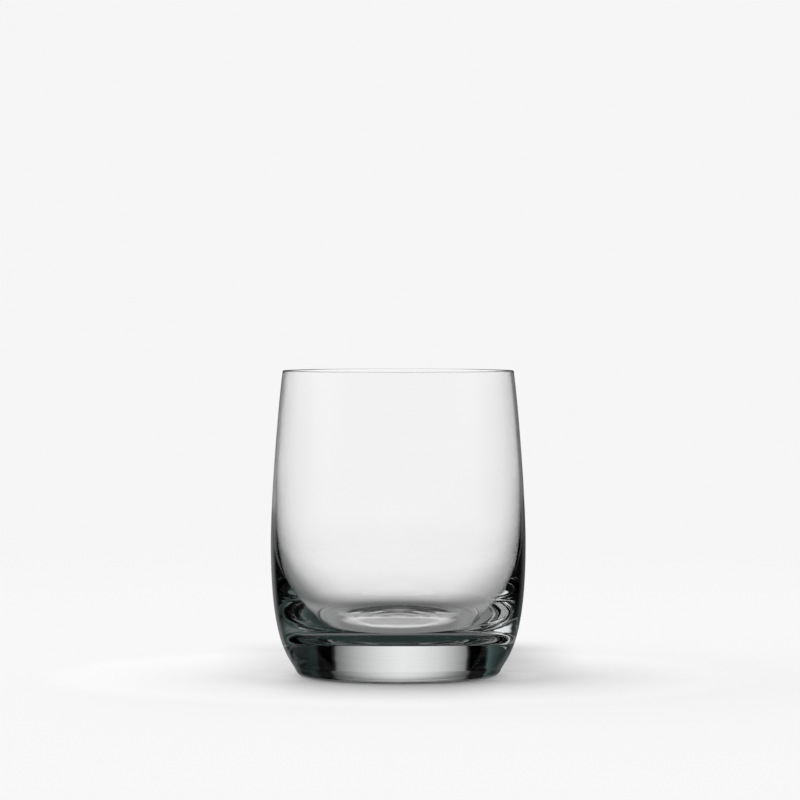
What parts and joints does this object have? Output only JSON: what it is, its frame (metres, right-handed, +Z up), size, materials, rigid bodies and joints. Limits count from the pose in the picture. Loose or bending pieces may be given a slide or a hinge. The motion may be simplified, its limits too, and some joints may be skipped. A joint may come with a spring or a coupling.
{
  "type": "rocks glass",
  "caption": "Clear barrel-shaped rocks glass with a thin rim, an open bowl with a flat, round-edged floor and a thick solid base with a tapered heel.",
  "frame": {"origin": "centre of the bearing face, on the surface that the glass stands on", "axes": "+Z up along the axis of the glass, towards the rim; X and Y are any two directions across it"},
  "size_m": [0.0834, 0.0834, 0.1],
  "materials": {
    "clear_glass": "clear, fire-polished, faintly green in the thick base"
  },
  "bodies": {
    "root": {"bowl_wall": "clear_glass", "heavy_base": "clear_glass"}
  },
  "joints": []
}
